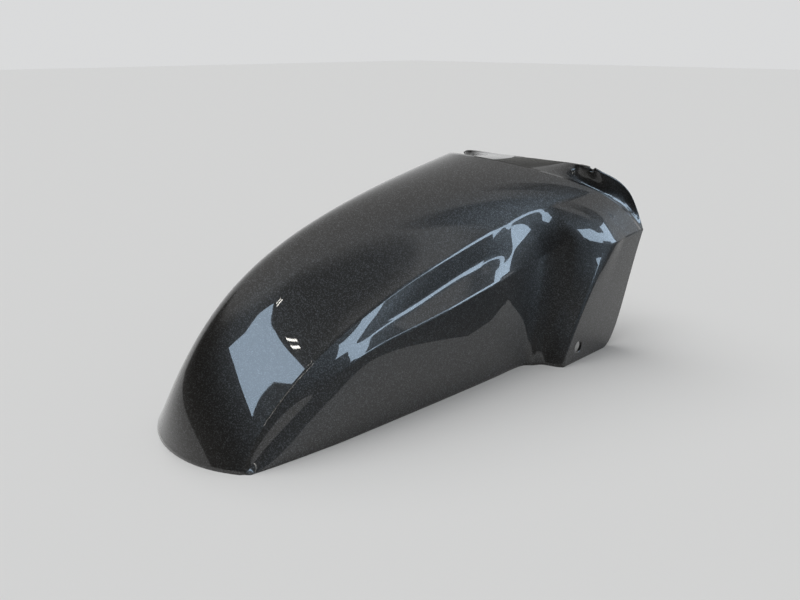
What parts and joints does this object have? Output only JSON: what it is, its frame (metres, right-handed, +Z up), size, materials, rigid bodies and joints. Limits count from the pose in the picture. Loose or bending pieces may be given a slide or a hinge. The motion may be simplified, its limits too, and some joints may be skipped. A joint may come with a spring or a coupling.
{
  "type": "scooter front fender",
  "caption": "Moulded scooter front fender: a rounded hood with side pockets, bolted wings and a rear collar, open below for the wheel.",
  "frame": {"origin": "middle of the footprint, on the plane that the bottom rim stands on", "axes": "+X forward to the nose, +Y to the left, +Z up"},
  "size_m": [0.482, 0.2342, 0.198],
  "materials": {
    "gloss_paint": "glossy black paint with a fine metallic flake under clear coat"
  },
  "bodies": {
    "root": {"front_fender": "gloss_paint"}
  },
  "joints": []
}
